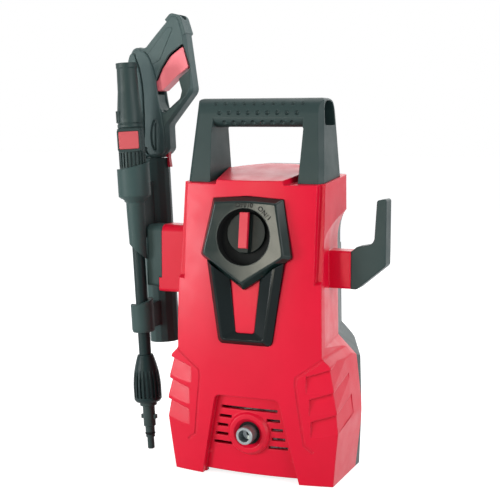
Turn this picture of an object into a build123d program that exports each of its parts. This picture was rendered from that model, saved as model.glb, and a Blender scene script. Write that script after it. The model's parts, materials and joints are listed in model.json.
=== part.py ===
"""Compact upright electric pressure washer with its spray gun and lance stored at the side.

Millimetres, +Z up, the front looks toward -Y, the origin is under the middle of the base.
"""
import os
from math import cos, radians, sin, sqrt

from build123d import *

os.makedirs("parts", exist_ok=True)

# Housing
WALL = 5.0
FRONT_WALL = 14.0
FRONT_Y = -101.0
BELLY_Z = 175.0
BELLY_RADIUS = 1336.0
PLAN_RADIUS = 439.0
REAR_Y = 92.0
PARTING_Y = 8.0
FOOT_HALF = 99.0
HIP_HALF = 107.0
HIP_Z = 72.0
LEDGE_HALF = 98.5
LEDGE_Z = 141.0
WAIST_HALF = 89.0
WAIST_Z = 150.0
SHOULDER_HALF = 86.0
SHOULDER_Z = 343.0
SHOULDER_RISE = 9.0
DOME_FRONT_Z = 347.0
DOME_Z = 363.5
DOME_HALF = 62.0
DOME_DROP = 6.5
BLOCK_TOP = 390.0
FRONT_REACH = 130.0
REAR_TAPER_Y = 0.0
REAR_HALF = 70.0
SHOULDER_TAPER_Y = 2.0
SHOULDER_TAPER = 0.42
WAIST_DEPTH = 11.0
WAIST_TOP_Z = 275.0
WING_Z = 315.0
REAR_WAIST_DEPTH = 26.0
SIDE_SPAN = 150.0

# Corner grooves of the front
GROOVE_HALF = 79.5
GROOVE_DEPTH = 6.5
GROOVE_END_Z = 236.0

# Vented recess with the water outlet
RECESS_DEPTH = 8.0
RECESS_TOP_Z = 99.5
RECESS_TOP_HALF = 39.0
RECESS_FOOT_HALF = 61.0
SKIRT_LIFT = 5.0
OUTLET_Z = 55.5
RING_R = 25.5
RING_RISE = 5.0
RING_LIP_R = 17.5
OUTLET_HOLE_R = 13.5
SLOT_H = 3.6
SLOT_Z = (84.0, 72.5, 61.5, 50.5, 40.0)
SLOT_HALF = (35.0, 38.0, 41.0, 43.5, 46.5)
SLOT_RING_GAP = 27.5

# Hip slats
SLAT_Z = (116.0, 90.0, 64.0)
SLAT_H = 23.0
SLAT_DEPTH = 2.4
SLAT_INNER = 32.0
SLAT_RISE = 0.3
SLAT_BACK = 0.2
SLAT_BACK_END = 58.0
SEAM_DEPTH = 0.6
SEAM_W = 2.6

# Switch panel and trim
PANEL_TILT = 7.5
PANEL_Z = 285.0
PANEL_Y = -106.5
PANEL_BASE_DROP = 9.0
PANEL_SEAT_DROP = 15.0
WELL_R = 32.0
WELL_DEPTH = 12.0
KNOB_RISE = 5.0
KNOB_R = 23.5
KNOB_SET_BACK = 8.5
TRIM_FACE_Y = -108.0
TRIM_BASE_Y = -101.5
TRIM_SEAT_Y = -94.0
FIT = 0.2
SPINDLE_R = 4.0
SPINDLE_L = 22.0
SWITCH_NECK_R = 8.0
SWITCH_FRONT = 26.0
KNOB_GAP = 0.4
GRIP_BAR_W = 12.0
POINTER_W = 11.0
POINTER_L = 41.0
POINTER_T = 3.5
POINTER_DROP = 3.0
RUN = 0.05

# Carrying handle
HANDLE_TOP = 440.0
HANDLE_TOP_HALF = 76.8
HANDLE_FOOT_HALF = 83.0
GRIP_HALF = 56.5
GRIP_FOOT_HALF = 52.0
GRIP_EDGE_R = 12.0
GRIP_HOLLOW_L = 20.0
GRIP_UNDER_Z = 407.0
DIMPLE_R = 3.0
DIMPLE_PITCH = 11.9
DIMPLE_ROWS = ((-60.0, 434.3, 10), (-63.9, 423.5, 9), (-62.6, 411.6, 8))

# Accessory mounts on the sides
BOSS_END_X = -133.0
STUB_END_X = 110.0
STUB_LOW_Z = 225.0

# Base, rear openings and screws
BASE_T = 4.0
INLET_Z = 40.0
INLET_HOLE_R = 16.0
GLAND_X = -40.0
GLAND_Z = 120.0
GLAND_R = 9.0
VENT_COUNT = 7
VENT_Z = 190.0
VENT_PITCH = 12.0
SCREW_R = 2.0
SCREW_HEAD_R = 4.0
SCREW_BOSS_R = 6.0
SCREW_AT = ((-54, 30), (54, 30), (-34, 305), (34, 305))
SCREW_END_Y = -12.0
POST_END_Y = -82.0
LUG_L = 24.0

# Holder for the spray equipment at the left side
LEAN = 3.455
LANCE_FOOT = (-147.5, -50.0, 10.0)
GUN_FOOT = (-153.2, 2.0, 137.0)
TUBE_R = 7.5
HEAD_R = 16.3
BARREL_R = 13.5
CUP_R = 19.8
SLEEVE_R = 11.3
LOWER_SLEEVE_R = 14.0
GUN_TUBE_R = 19.0
GUN_TUBE_BORE_R = 14.8
GUN_TUBE_L = 231.0
GUN_DRAWN_L = 231.0
LANCE_PLAY = 0.5
MOUTH_ANGLE = 145.0
CLIP_FRONT_Y = -45.0
CLIP_BACK_Y = -8.0
CLIP_LOW_Z = 224.0
CLIP_HIGH_Z = 288.0
CLIP_T = 20.0
CLIP_TOE_Z = 213.0
LEDGE_END_X = -137.0

# Lance
NUT_RIBS = 20
HEAD_GROOVES = 22
HEAD_LOW = 318.5
HEAD_HIGH = 396.0
TIP_STATION = 474.0
BUTTON_ANGLE = 18.0
BUTTON_STATION = 381.5
BUTTON_W = 24.0
BUTTON_H = 21.0
BUTTON_FACE = 17.4
BUTTON_TRAVEL = 2.5
PAD_FACE = 16.8
STEM_R = 6.0

# Spray gun
GUN_Y = 2.0
GUN_HALF = 12.5
GUN_EDGE = 4.5
INLAY_T = 1.5
TRIGGER_HALF = 9.0
TRIGGER_PIVOT = (-160.5, 455.5)
PIN_R = 2.0
GUARD_HALF = 5.0
LATCH_HALF = 3.5

# Motor and pump
DRIVE_Y = 5.0
HEAD_TOP = 62.0
HEAD_HALF_X = 36.0
HEAD_HALF_Y = 33.0
CRANK_TOP = 112.0
CRANK_HALF = 48.0
CRANK_BORE_R = 36.0
FLANGE_TOP = 124.0
CAN_R = 46.0
CAN_INNER_R = 43.0
CAN_TOP = 246.0
CAP_TOP = 256.0
SHAFT_R = 6.0
SHAFT_TOP = 282.0
LOW_BEARING_R = 13.0
TOP_BEARING_R = 11.0
PISTON_R = 7.0
PISTON_CIRCLE_R = 20.0
PISTON_TOP = 84.0
SEAL_R = 10.0
SWASH_R = 32.0
SWASH_TILT = 9.0
SWASH_Z = 94.0
THRUST_T = 4.0
BOLT_AT = 41.0
BOLT_R = 3.0
NIPPLE_R = 10.2
NIPPLE_TIP_Y = -104.0
NIPPLE_BORE_R = 7.0
NIPPLE_BORE_L = 14.0


def save(piece, name):
    piece.part.label = name
    export_step(piece.part, f"parts/{name}.step")


def front_at(z, inset=0.0):
    bulge = BELLY_RADIUS - sqrt(BELLY_RADIUS**2 - (z - BELLY_Z) ** 2)
    return FRONT_Y + inset + bulge


def body_block(inset, front_inset):
    """The housing as one block, moved inward by the wall for its hollow."""
    axis_y = FRONT_Y + PLAN_RADIUS
    half = [
        (FOOT_HALF - inset, 0),
        (HIP_HALF - inset, HIP_Z),
        (LEDGE_HALF - inset, LEDGE_Z),
        (WAIST_HALF - inset, WAIST_Z),
        (SHOULDER_HALF - inset, SHOULDER_Z),
        (SHOULDER_HALF - inset, BLOCK_TOP),
    ]
    rounds = [0, 20, 4, 6, 0, 0]
    left = [(-x, z) for x, z in reversed(half)]
    with BuildPart() as block:
        with BuildSketch(Plane.XZ.offset(inset - REAR_Y)):
            with BuildLine():
                FilletPolyline(*half, *left, radius=rounds + rounds[::-1], close=True)
            make_face()
        extrude(amount=REAR_Y - inset + FRONT_REACH)
        with BuildSketch(Plane.YZ):
            with BuildLine():
                belly = ThreePointArc(
                    (front_at(-20, front_inset), -20),
                    (FRONT_Y + front_inset, BELLY_Z),
                    (front_at(BLOCK_TOP, front_inset), BLOCK_TOP),
                )
                Polyline(belly @ 1, (axis_y, BLOCK_TOP), (axis_y, -20), belly @ 0)
            make_face()
        revolve(axis=Axis((0, axis_y, 0), (0, 0, 1)), mode=Mode.INTERSECT)
        with BuildSketch(Plane.YZ):
            with BuildLine():
                top = SHOULDER_Z - inset
                FilletPolyline(
                    (-FRONT_REACH, -20),
                    (-FRONT_REACH, top - 5),
                    (-84, top),
                    (PARTING_Y, top + SHOULDER_RISE),
                    (60, top + SHOULDER_RISE - 2),
                    (REAR_Y, top - 12),
                    (REAR_Y, -20),
                    radius=[0, 0, 0, 0, 20, 0, 0],
                    close=True,
                )
            make_face()
        extrude(amount=SIDE_SPAN, both=True, mode=Mode.INTERSECT)
        with BuildSketch(Plane.XY.offset(-20)):
            with BuildLine():
                FilletPolyline(
                    (HIP_HALF + 2 - inset, -FRONT_REACH),
                    (HIP_HALF + 2 - inset, REAR_TAPER_Y),
                    (REAR_HALF - inset, REAR_Y - inset),
                    (inset - REAR_HALF, REAR_Y - inset),
                    (inset - HIP_HALF - 2, REAR_TAPER_Y),
                    (inset - HIP_HALF - 2, -FRONT_REACH),
                    radius=[0, 0, 14, 14, 0, 0],
                    close=True,
                )
            make_face()
        extrude(amount=BLOCK_TOP + 20, mode=Mode.INTERSECT)
        with BuildSketch(Plane.XY.offset(WAIST_TOP_Z - 13)):
            edge = SHOULDER_HALF - inset
            end_y = REAR_Y + 10
            end_x = edge - SHOULDER_TAPER * (end_y - SHOULDER_TAPER_Y)
            for side in (-1, 1):
                with BuildLine():
                    Polyline(
                        (side * edge, SHOULDER_TAPER_Y),
                        (side * SIDE_SPAN, SHOULDER_TAPER_Y),
                        (side * SIDE_SPAN, end_y),
                        (side * end_x, end_y),
                        close=True,
                    )
                make_face()
        extrude(amount=BLOCK_TOP, mode=Mode.SUBTRACT)
    return block.part


def waist_cut(inset):
    """The hollowed waist at the sides, deepest at the back, where the hose is wound."""

    def station(shift):
        foot = WAIST_HALF - WAIST_DEPTH + shift - inset
        return [
            (foot, LEDGE_Z + LEDGE_HALF - WAIST_HALF + WAIST_DEPTH - 1),
            (foot + SIDE_SPAN, LEDGE_Z - SIDE_SPAN + LEDGE_HALF - WAIST_HALF + WAIST_DEPTH - 1),
            (foot + SIDE_SPAN, WING_Z),
            (foot + 12, WING_Z),
            (foot - 2, WAIST_TOP_Z),
        ]

    def ruled(y0, shift0, y1, shift1):
        with BuildPart() as piece:
            for y, shift in ((y0, shift0), (y1, shift1)):
                with BuildSketch(Plane.XZ.offset(-y)):
                    points = station(shift)
                    with BuildLine():
                        Polyline(points[4], points[0], points[1], points[2], points[3])
                        ThreePointArc(
                            points[3],
                            (points[4][0] + 3.2, WAIST_TOP_Z + 21),
                            points[4],
                        )
                    make_face()
            loft(ruled=True)
        return piece.part

    front = ruled(REAR_TAPER_Y, 0, -96, WAIST_DEPTH + 2)
    rear = ruled(REAR_TAPER_Y, 0, REAR_Y + 5, -REAR_WAIST_DEPTH)
    with BuildPart() as both:
        add(front)
        add(rear)
        mirror(about=Plane.YZ)
    return both.part


def prism(points, plane, depth, radius=0.0, taper=0.0):
    """A closed outline with rounded corners, raised from a plane."""
    with BuildPart() as piece:
        with BuildSketch(plane):
            with BuildLine():
                FilletPolyline(*points, radius=radius, close=True)
            make_face()
        extrude(amount=depth, taper=taper)
    return piece.part


def mirrored(points):
    return points + [(-x, z) for x, z in reversed(points) if x]


outer = body_block(0.0, 0.0)
hollow = body_block(WALL, FRONT_WALL)
recessed = body_block(0.0, RECESS_DEPTH)
seamed = body_block(0.0, SEAM_DEPTH)
waist = waist_cut(0.0)
waist_inner = waist_cut(WALL)

PANEL = Plane(
    (0, PANEL_Y, PANEL_Z),
    x_dir=(1, 0, 0),
    z_dir=(0, -cos(radians(PANEL_TILT)), sin(radians(PANEL_TILT))),
)
panel_base = mirrored([(0, 46.5), (42.7, 43.5), (55.0, -21.5), (0, -59.5)])
panel_face = mirrored([(0, 40.0), (37.0, 37.5), (48.5, -20.5), (0, -52.0)])
panel_seat = mirrored([(0, 46.5 + FIT), (42.7 + FIT, 43.5 + FIT), (55.0 + FIT, -21.5), (0, -59.5 - FIT)])
trim_base = mirrored([(46.6, 257.0), (32.5, 161.5)])
trim_seat = mirrored([(46.6 + FIT, 257.0), (32.5 + FIT, 161.5 - FIT)])
trim_face = mirrored([(40.0, 257.0), (27.0, 166.5)])
trim_core = mirrored([(21.0 - FIT, 260.0), (11.5 - FIT, 174.5 + FIT)])
trim_window = mirrored([(21.0, 260.0), (11.5, 174.5)])
trim_window_face = mirrored([(37.5, 260.0), (24.5, 168.5)])
recess_outline = mirrored([(RECESS_TOP_HALF, RECESS_TOP_Z), (RECESS_FOOT_HALF, -2.0)])

with BuildPart() as trim_hole_block:
    with BuildSketch(Plane.XZ.offset(-TRIM_BASE_Y)):
        with BuildLine():
            FilletPolyline(*trim_window, radius=[0, 3, 3, 0], close=True)
        make_face()
    with BuildSketch(Plane.XZ.offset(-TRIM_FACE_Y)):
        with BuildLine():
            FilletPolyline(*trim_window_face, radius=[0, 3, 3, 0], close=True)
        make_face()
    loft(ruled=True)
    with BuildSketch(Plane.XZ.offset(60)):
        with BuildLine():
            FilletPolyline(*trim_window, radius=[0, 3, 3, 0], close=True)
        make_face()
    extrude(amount=-TRIM_BASE_Y - 60)
trim_hole = trim_hole_block.part

with BuildPart() as trim_pocket_block:
    add(prism(trim_seat, Plane.XZ.offset(-TRIM_SEAT_Y), 30, radius=[0, 7, 7, 0]))
    add(prism(trim_core, Plane.XZ.offset(-TRIM_SEAT_Y), 30, radius=[0, 3, 3, 0]), mode=Mode.SUBTRACT)
trim_pocket = trim_pocket_block.part


def plan_at(x):
    return PLAN_RADIUS - sqrt(PLAN_RADIUS**2 - x**2)


def hip_half(z):
    if z < HIP_Z:
        return FOOT_HALF + (HIP_HALF - FOOT_HALF) * z / HIP_Z
    return HIP_HALF + (LEDGE_HALF - HIP_HALF) * (z - HIP_Z) / (LEDGE_Z - HIP_Z)


def slat_cut(z):
    """One overlapping slat at the hip: flush at its lower edge, set in at its upper edge."""
    corner = Vector(hip_half(z), front_at(z) + plan_at(hip_half(z)), z)
    low = Plane(corner, x_dir=(1, 0, SLAT_RISE), z_dir=(-SLAT_RISE, -SLAT_BACK, 1))
    high = Plane(corner + Vector(0, 0, SLAT_H), x_dir=low.x_dir, z_dir=low.z_dir)
    lean = hip_half(z + SLAT_H) - hip_half(z) - SLAT_DEPTH
    square = SLAT_RISE * SLAT_BACK
    with BuildPart() as kept:
        for plane, dx, dy in ((low, 0.0, 0.0), (high, lean, SLAT_DEPTH)):
            with BuildSketch(plane):
                with BuildLine():
                    Polyline(
                        (dx, dy), (dx + 120 * square, 120), (dx - 60, 120), (dx - 60, dy - 12), close=True
                    )
                make_face()
        loft(ruled=True)
    with BuildPart() as cut:
        with BuildSketch(low):
            with BuildLine():
                Polyline(
                    (-SLAT_INNER, -40), (40, -40), (40, SLAT_BACK_END), (-SLAT_INNER, SLAT_BACK_END),
                    close=True,
                )
            make_face()
        extrude(amount=SLAT_H, dir=(0, 0, 1))
        add(kept.part, mode=Mode.SUBTRACT)
    return cut.part


# Housing with the raised dome between the handle feet
with BuildPart() as dome_block:
    add(outer)
    with BuildSketch(Plane.XY.offset(SHOULDER_Z - 10)):
        with BuildLine():
            Polyline(
                (38, -110), (60, -20), (60, 50), (42, 100),
                (-42, 100), (-60, 50), (-60, -20), (-38, -110), close=True,
            )
        make_face()
    extrude(amount=BLOCK_TOP - SHOULDER_Z, taper=12)
    with BuildSketch(Plane.YZ):
        with BuildLine():
            FilletPolyline(
                (-FRONT_REACH, -20),
                (-FRONT_REACH, DOME_FRONT_Z - 6),
                (-90, DOME_FRONT_Z),
                (PARTING_Y, DOME_Z),
                (45, DOME_Z - 1),
                (REAR_Y, SHOULDER_Z - 12),
                (REAR_Y, -20),
                radius=[0, 0, 4, 60, 30, 0, 0],
                close=True,
            )
        make_face()
    extrude(amount=SIDE_SPAN, both=True, mode=Mode.INTERSECT)
    with BuildSketch(Plane.XZ.offset(-REAR_Y - 10)):
        with BuildLine():
            crown = ThreePointArc(
                (-DOME_HALF, DOME_Z - DOME_DROP), (0, DOME_Z), (DOME_HALF, DOME_Z - DOME_DROP)
            )
            Polyline(crown @ 1, (DOME_HALF, BLOCK_TOP + 60), (-DOME_HALF, BLOCK_TOP + 60), crown @ 0)
        make_face()
    extrude(amount=REAR_Y + 10 + FRONT_REACH, mode=Mode.SUBTRACT)
    with BuildSketch(Plane.YZ):
        with BuildLine():
            skin = ThreePointArc((front_at(-20), -20), (FRONT_Y, BELLY_Z), (front_at(BLOCK_TOP), BLOCK_TOP))
            Polyline(skin @ 1, (FRONT_Y + PLAN_RADIUS, BLOCK_TOP), (FRONT_Y + PLAN_RADIUS, -20), skin @ 0)
        make_face()
    revolve(axis=Axis((0, FRONT_Y + PLAN_RADIUS, 0), (0, 0, 1)), mode=Mode.INTERSECT)
    add(waist, mode=Mode.SUBTRACT)
housing = dome_block.part

with BuildPart() as inside:
    add(hollow)
    add(waist_inner, mode=Mode.SUBTRACT)

with BuildPart() as recess_cut:
    add(prism(recess_outline, Plane.XZ.offset(60), 60, radius=[8, 0, 0, 8]))
    add(recessed, mode=Mode.SUBTRACT)

with BuildPart() as seam_cut:
    with BuildSketch(Plane.XZ.offset(60)):
        with BuildLine():
            Polyline((90, 149), (60, 127), (59, 119), (68, 48), (78, 40))
        trace(line_width=SEAM_W)
    extrude(amount=60)
    add(seamed, mode=Mode.SUBTRACT)
    mirror(about=Plane.YZ)

with BuildPart() as slat_cuts:
    for slat_z in SLAT_Z:
        add(slat_cut(slat_z))
    mirror(about=Plane.YZ)

OUTLET_PLAN = Plane((0, 0, OUTLET_Z), x_dir=(1, 0, 0), z_dir=(0, 0, 1))
OUTLET_AXIS = Axis((0, 0, OUTLET_Z), (0, 1, 0))
KNOB_CENTRE = Plane(PANEL.from_local_coords((0, KNOB_RISE, 0)), x_dir=(1, 0, 0), z_dir=PANEL.z_dir)
recess_y = front_at(OUTLET_Z, RECESS_DEPTH)

# Red front half of the housing with both side brackets
with BuildPart() as front_casing:
    add(housing)
    add(trim_pocket, mode=Mode.SUBTRACT)
    with BuildSketch(Plane.YZ.offset(BOSS_END_X)):
        with BuildLine():
            FilletPolyline((-45, 207), (-45, 289), (-4, 289), (-4, 207), radius=[4, 10, 10, 4], close=True)
        make_face()
    extrude(amount=60)
    with BuildSketch(Plane.YZ.offset(LEDGE_END_X)):
        with BuildLine():
            FilletPolyline(
                (-45, 207), (-45, CLIP_LOW_Z), (-4, CLIP_LOW_Z), (-4, 207), radius=[4, 0, 0, 4], close=True
            )
        make_face()
    extrude(amount=20)
    with BuildSketch(Plane.YZ.offset(STUB_END_X - 40)):
        with BuildLine():
            FilletPolyline(
                (-55, STUB_LOW_Z), (-55, 268), (-27, 268), (-27, STUB_LOW_Z), radius=2.5, close=True
            )
        make_face()
    extrude(amount=40)
    add(inside.part, mode=Mode.SUBTRACT)
    add(recess_cut.part, mode=Mode.SUBTRACT)
    add(slat_cuts.part, mode=Mode.SUBTRACT)
    add(seam_cut.part, mode=Mode.SUBTRACT)
    # outlet ring on the recess floor
    with BuildSketch(OUTLET_PLAN):
        with BuildLine():
            Polyline(
                (OUTLET_HOLE_R, recess_y + 5),
                (RING_R, recess_y + 5),
                (RING_R, recess_y - 1.5),
                (RING_R - 3, recess_y - RING_RISE),
                (RING_LIP_R, recess_y - RING_RISE),
                (OUTLET_HOLE_R, recess_y - 1),
                close=True,
            )
        make_face()
    revolve(axis=OUTLET_AXIS)
    with BuildSketch(Plane.XZ.offset(60)):
        with Locations((0, OUTLET_Z)):
            Circle(OUTLET_HOLE_R)
        for slot_z, half in zip(SLOT_Z, SLOT_HALF):
            gap = sqrt(max(SLOT_RING_GAP**2 - (slot_z - OUTLET_Z) ** 2, 0))
            for side in (-1, 1):
                with Locations((side * (half + gap) / 2, slot_z)):
                    Rectangle(half - gap, SLOT_H)
        with Locations((0, SKIRT_LIFT / 2 - 1)):
            Rectangle(2 * RECESS_FOOT_HALF - 4, SKIRT_LIFT + 2)
    extrude(amount=60, mode=Mode.SUBTRACT)
    # stepped grooves down both front corners
    for side in (-1, 1):
        with BuildSketch(Plane.YZ.offset(side * GROOVE_HALF)):
            with BuildLine():
                back = plan_at(GROOVE_HALF) + GROOVE_DEPTH
                Polyline(
                    (-FRONT_REACH, GROOVE_END_Z - 26),
                    (front_at(GROOVE_END_Z) + back, GROOVE_END_Z),
                    (front_at(BLOCK_TOP) + back, BLOCK_TOP),
                    (-FRONT_REACH, BLOCK_TOP),
                    close=True,
                )
            make_face()
        extrude(amount=side * 30, mode=Mode.SUBTRACT)
    # seat for the switch panel
    add(prism(panel_seat, PANEL.offset(-PANEL_SEAT_DROP), 40), mode=Mode.SUBTRACT)
    with BuildSketch(KNOB_CENTRE.offset(-60)):
        Circle(SWITCH_NECK_R + 1)
    extrude(amount=60, mode=Mode.SUBTRACT)
    # screw posts, and lugs that rest on the base plate
    with BuildSketch(Plane.XZ.offset(-PARTING_Y)):
        with Locations(*SCREW_AT):
            Circle(SCREW_BOSS_R)
            Circle(SCREW_R, mode=Mode.SUBTRACT)
    extrude(amount=PARTING_Y - POST_END_Y)
    with BuildSketch(Plane.XY.offset(BASE_T)):
        for side in (-1, 1):
            with Locations((side * 90, -30)):
                Rectangle(16, LUG_L)
    extrude(amount=10)
    with BuildSketch(Plane.XZ.offset(-PARTING_Y)):
        Rectangle(4 * SIDE_SPAN, 8 * SIDE_SPAN)
    extrude(amount=FRONT_REACH + 40, mode=Mode.INTERSECT)
save(front_casing, "front_casing")

# Dark rear half with its air vents, water inlet opening and screw pockets
with BuildPart() as rear_cover:
    add(housing)
    add(inside.part, mode=Mode.SUBTRACT)
    with BuildSketch(Plane.XY.offset(BASE_T)):
        for side in (-1, 1):
            with Locations((side * 86, PARTING_Y + LUG_L / 2 + 1)):
                Rectangle(14, LUG_L)
    extrude(amount=10)
    with BuildSketch(Plane.XZ.offset(-REAR_Y - 10)):
        with Locations((0, INLET_Z)):
            Circle(INLET_HOLE_R)
        with Locations((GLAND_X, GLAND_Z)):
            Circle(GLAND_R)
        for k in range(VENT_COUNT):
            with Locations((0, VENT_Z + k * VENT_PITCH)):
                SlotOverall(64, 4.5)
    extrude(amount=30, mode=Mode.SUBTRACT)
    for x, z in SCREW_AT:
        with BuildSketch(Plane.XZ.offset(-REAR_Y + 2)):
            with Locations((x, z)):
                Circle(SCREW_BOSS_R)
        extrude(amount=REAR_Y - 2)
        with BuildSketch(Plane.XZ.offset(-REAR_Y + 8)):
            with Locations((x, z)):
                Circle(SCREW_HEAD_R + 0.4)
        extrude(amount=-30, mode=Mode.SUBTRACT)
        with BuildSketch(Plane.XZ):
            with Locations((x, z)):
                Circle(SCREW_R + 0.05)
        extrude(amount=-REAR_Y, mode=Mode.SUBTRACT)
    with BuildSketch(Plane.XZ.offset(-PARTING_Y)):
        Rectangle(4 * SIDE_SPAN, 8 * SIDE_SPAN)
    extrude(amount=-FRONT_REACH - 40, mode=Mode.INTERSECT)
save(rear_cover, "rear_cover")

with BuildPart() as casing_screws:
    for x, z in SCREW_AT:
        with BuildSketch(Plane.XZ.offset(-REAR_Y + 8)):
            with Locations((x, z)):
                Circle(SCREW_HEAD_R)
        extrude(amount=-3)
        with BuildSketch(Plane.XZ.offset(-SCREW_END_Y)):
            with Locations((x, z)):
                Circle(SCREW_R)
        extrude(amount=SCREW_END_Y - REAR_Y + 8)
        with BuildSketch(Plane.XZ.offset(-REAR_Y + 5)):
            with Locations((x, z)):
                Rectangle(5, 1.0)
                Rectangle(1.0, 5)
        extrude(amount=1.5, mode=Mode.SUBTRACT)
save(casing_screws, "casing_screws")

# Floor of the machine
with BuildPart() as base_plate:
    with BuildSketch():
        with BuildLine():
            FilletPolyline(
                (86, -62), (86, 20), (62, 80), (-62, 80), (-86, 20), (-86, -62), radius=8, close=True
            )
        make_face()
    extrude(amount=BASE_T)
save(base_plate, "base_plate")

# Carrying handle with hollow grip ends
with BuildPart() as carry_handle:
    with BuildSketch(Plane.YZ):
        with BuildLine():
            FilletPolyline(
                (-77.5, 335), (-63, 424), (-57.5, 440), (-22, 440), (-18, 424), (-11, 335),
                radius=[0, 30, 15, 15, 30, 0], close=True,
            )
        make_face()
    extrude(amount=SIDE_SPAN, both=True)
    with BuildSketch(Plane.XZ.offset(-20)):
        with BuildLine():
            slope = (HANDLE_FOOT_HALF - HANDLE_TOP_HALF) / (HANDLE_TOP - 346)
            foot = HANDLE_FOOT_HALF + 16 * slope
            FilletPolyline(
                (foot, 330), (HANDLE_TOP_HALF, HANDLE_TOP), (-HANDLE_TOP_HALF, HANDLE_TOP), (-foot, 330),
                radius=[0, 5, 5, 0], close=True,
            )
        make_face()
    extrude(amount=FRONT_REACH, mode=Mode.INTERSECT)
    for side in (-1, 1):
        edge = Vector(5 * side, 5.5, 0)
        drop = Vector(6 * side, -14.5, -89)
        split(
            bisect_by=Plane(
                (side * (HANDLE_TOP_HALF - 5), -62, 432), x_dir=edge, z_dir=drop.cross(edge) * side
            ),
            keep=Keep.BOTTOM,
        )
    with BuildSketch(Plane.XZ.offset(-20)):
        with BuildLine():
            FilletPolyline(
                (GRIP_FOOT_HALF, 300), (GRIP_HALF, GRIP_UNDER_Z), (-GRIP_HALF, GRIP_UNDER_Z),
                (-GRIP_FOOT_HALF, 300), radius=[0, 2, 2, 0], close=True,
            )
        make_face()
    extrude(amount=FRONT_REACH, mode=Mode.SUBTRACT)
    for side in (-1, 1):
        with BuildSketch(Plane.YZ.offset(side * (HANDLE_TOP_HALF + 10))):
            with BuildLine():
                FilletPolyline(
                    (-56.3, 409), (-55, 437), (-21.5, 437), (-20, 409), radius=[3, 13, 13, 3], close=True
                )
            make_face()
        extrude(amount=-side * (10 + GRIP_HOLLOW_L), mode=Mode.SUBTRACT)
    # rounded lower edges of the grip between its posts
    with BuildSketch(Plane.YZ):
        for edge_y, turn in ((-64, 1), (-17, -1)):
            centre_y = edge_y + turn * GRIP_EDGE_R
            centre_z = GRIP_UNDER_Z + GRIP_EDGE_R
            arc_r = GRIP_EDGE_R * sqrt(0.5)
            with BuildLine():
                round_edge = ThreePointArc(
                    (edge_y, centre_z),
                    (centre_y - turn * arc_r, centre_z - arc_r),
                    (centre_y, GRIP_UNDER_Z),
                )
                Polyline(
                    round_edge @ 1, (centre_y, GRIP_UNDER_Z - 3), (edge_y - turn * 12, GRIP_UNDER_Z - 3),
                    (edge_y - turn * 12, centre_z), round_edge @ 0,
                )
            make_face()
    extrude(amount=GRIP_HALF - 1, both=True, mode=Mode.SUBTRACT)
    for row_y, row_z, count in DIMPLE_ROWS:
        for k in range(count):
            x = (k - (count - 1) / 2) * DIMPLE_PITCH
            with Locations((x, row_y, row_z)):
                Sphere(DIMPLE_R, rotation=(0, 90, 0), mode=Mode.SUBTRACT)
    add(housing, mode=Mode.SUBTRACT)
save(carry_handle, "carry_handle")

# Glossy switch panel with its round well
with BuildPart() as switch_bezel:
    with BuildSketch(PANEL.offset(-PANEL_BASE_DROP)):
        with BuildLine():
            FilletPolyline(*panel_base, radius=[200, 2, 4, 2, 4, 2], close=True)
        make_face()
    with BuildSketch(PANEL):
        with BuildLine():
            FilletPolyline(*panel_face, radius=[200, 2, 4, 2, 4, 2], close=True)
        make_face()
    loft(ruled=True)
    with BuildSketch(PANEL.offset(-PANEL_SEAT_DROP)):
        with BuildLine():
            FilletPolyline(*panel_base, radius=[200, 2, 4, 2, 4, 2], close=True)
        make_face()
    extrude(amount=PANEL_SEAT_DROP - PANEL_BASE_DROP)
    with BuildSketch(PANEL.offset(-WELL_DEPTH)):
        Circle(WELL_R)
    extrude(amount=WELL_DEPTH + 5, mode=Mode.SUBTRACT)
    well_edges = switch_bezel.edges().filter_by(GeomType.CIRCLE).sort_by(SortBy.RADIUS)
    chamfer(well_edges[-2:].sort_by(Axis.Y)[0], 1.2)
    with BuildSketch(KNOB_CENTRE.offset(-30)):
        Circle(SPINDLE_R + RUN)
    extrude(amount=30, mode=Mode.SUBTRACT)
save(switch_bezel, "switch_bezel")

# Faceted trim frame below the panel
with BuildPart() as front_trim:
    with BuildSketch(Plane.XZ.offset(-TRIM_BASE_Y)):
        with BuildLine():
            FilletPolyline(*trim_base, radius=[0, 7, 7, 0], close=True)
        make_face()
    with BuildSketch(Plane.XZ.offset(-TRIM_FACE_Y)):
        with BuildLine():
            FilletPolyline(*trim_face, radius=[0, 5, 5, 0], close=True)
        make_face()
    loft(ruled=True)
    with BuildSketch(Plane.XZ.offset(-TRIM_SEAT_Y)):
        with BuildLine():
            FilletPolyline(*trim_base, radius=[0, 7, 7, 0], close=True)
        make_face()
    extrude(amount=TRIM_SEAT_Y - TRIM_BASE_Y)
    add(trim_hole, mode=Mode.SUBTRACT)
    add(prism(panel_seat, PANEL.offset(-40), 80), mode=Mode.SUBTRACT)
save(front_trim, "front_trim")

# Rotary on/off knob, its pointer and the spindle behind it
with BuildPart() as switch_knob:
    with BuildSketch(KNOB_CENTRE.offset(-WELL_DEPTH + KNOB_GAP)):
        Circle(KNOB_R)
    extrude(amount=WELL_DEPTH - KNOB_GAP - KNOB_SET_BACK)
    chamfer(switch_knob.edges().sort_by(Axis.Y)[0], 0.8)
    with BuildSketch(KNOB_CENTRE.offset(-KNOB_SET_BACK - 0.5)):
        Rectangle(GRIP_BAR_W, 2 * KNOB_R - 1)
    extrude(amount=KNOB_SET_BACK + 0.5 - POINTER_DROP, taper=6)
save(switch_knob, "switch_knob")

with BuildPart() as knob_pointer:
    with BuildSketch(KNOB_CENTRE.offset(-POINTER_DROP)):
        with Locations((0, KNOB_R - POINTER_L / 2 - 0.5)):
            Rectangle(POINTER_W, POINTER_L)
    extrude(amount=POINTER_T, taper=8)
save(knob_pointer, "knob_pointer")

with BuildPart() as switch_spindle:
    with BuildSketch(KNOB_CENTRE.offset(-WELL_DEPTH + KNOB_GAP)):
        Circle(SPINDLE_R)
    extrude(amount=-SPINDLE_L)
save(switch_spindle, "switch_spindle")

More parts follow.
